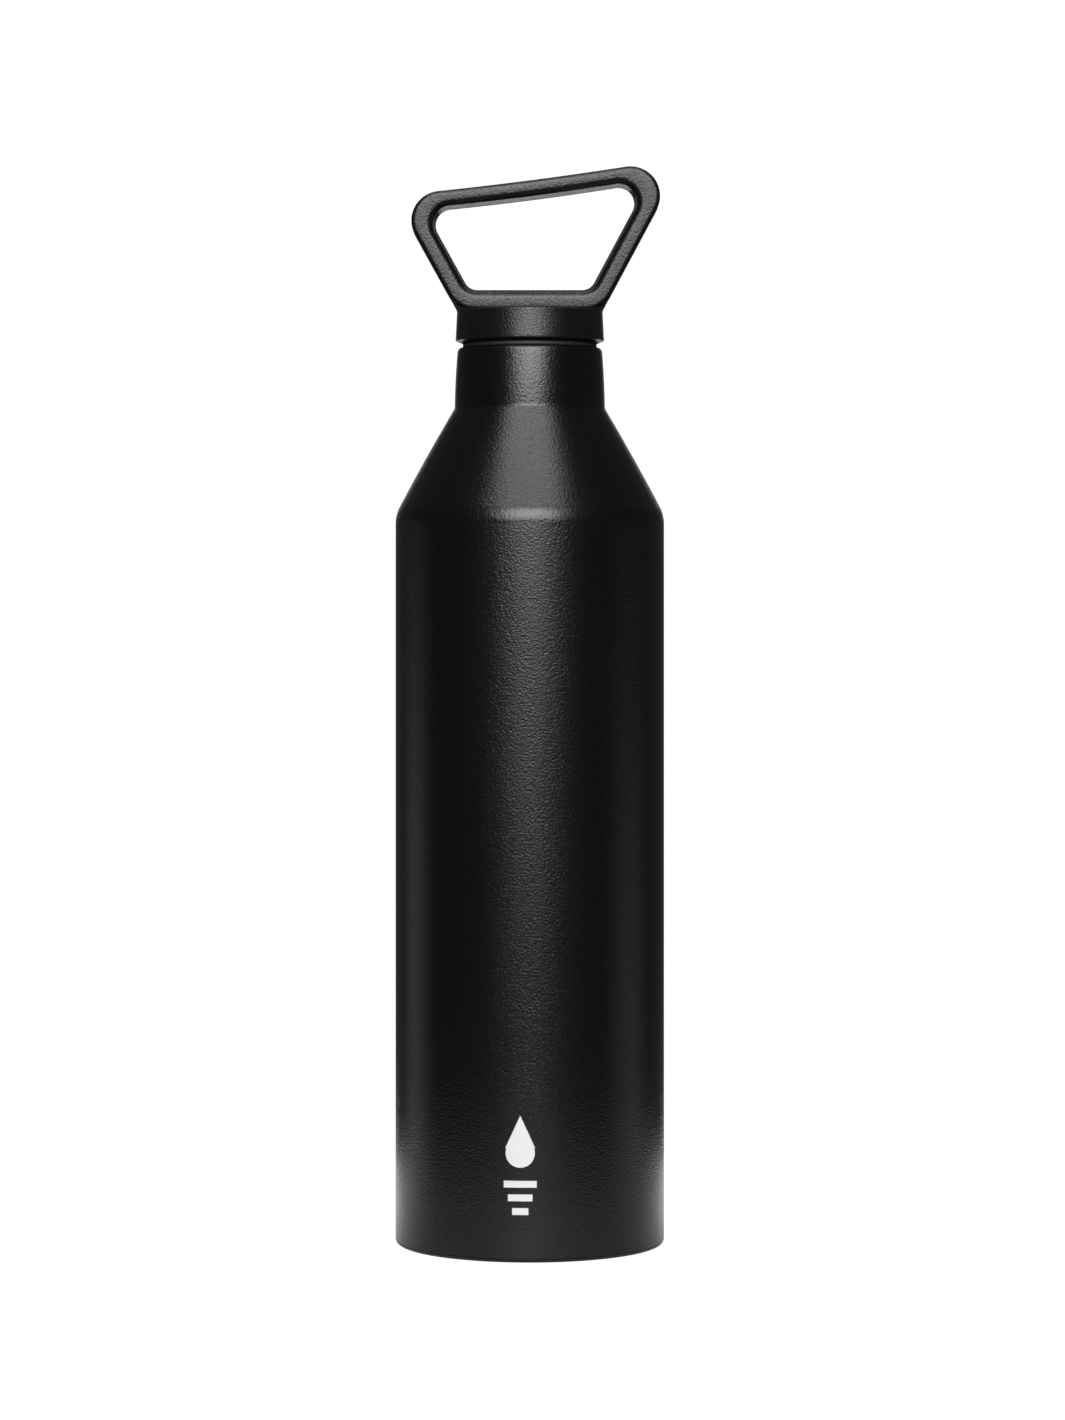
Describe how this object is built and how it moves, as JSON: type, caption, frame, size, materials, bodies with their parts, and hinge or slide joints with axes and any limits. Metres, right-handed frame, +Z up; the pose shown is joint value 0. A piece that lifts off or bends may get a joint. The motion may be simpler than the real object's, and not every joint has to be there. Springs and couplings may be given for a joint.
{
  "type": "insulated water bottle",
  "caption": "Slim double-wall steel water bottle with a coned shoulder, short neck and a screw cap that carries a rigid slanted carry loop.",
  "frame": {"origin": "centre of the base, on the surface that the bottle stands on", "axes": "+Z up the bottle's axis, -Y towards the front, +X right, towards the carry loop's higher corner"},
  "size_m": [0.073, 0.073, 0.2926],
  "materials": {
    "powder_coat": "matte black fine-grain powder coat on stainless steel",
    "powder_coat_base": "matte black powder coat on the pressed steel base pan",
    "polished_steel": "bare stainless steel, electropolished",
    "getter_metal": "pressed metal powder",
    "solder": "dull solder",
    "cap_plastic": "black moulded plastic with a fine matte texture",
    "plug_plastic": "black moulded plastic, smooth",
    "foam": "closed-cell insulating foam",
    "silicone": "satin black silicone"
  },
  "bodies": {
    "flask": {"outer_shell": "powder_coat", "outer_base": "powder_coat_base", "inner_liner": "polished_steel", "inner_base": "polished_steel", "getter": "getter_metal", "getter_holder": "polished_steel", "seal_bead": "solder"},
    "cap_seal": {"mouth_gasket": "silicone"},
    "cap": {"cap_shell": "cap_plastic", "cap_plug": "plug_plastic", "plug_foam": "foam"}
  },
  "joints": [
    {"name": "cap_lift", "type": "slide", "parent": "flask", "child": "cap_seal", "axis": [0, 0, 1], "range_m": [0, 0.024]},
    {"name": "cap_turn", "type": "hinge", "parent": "cap_seal", "child": "cap", "pos_m": [0, 0, 0.2434], "axis": [0, 0, 1], "range_deg": [0, 1080]}
  ],
  "couplings": [
    {"joint": "cap_lift", "follows": "cap_turn", "m_per_rad": 0.0012732}
  ]
}
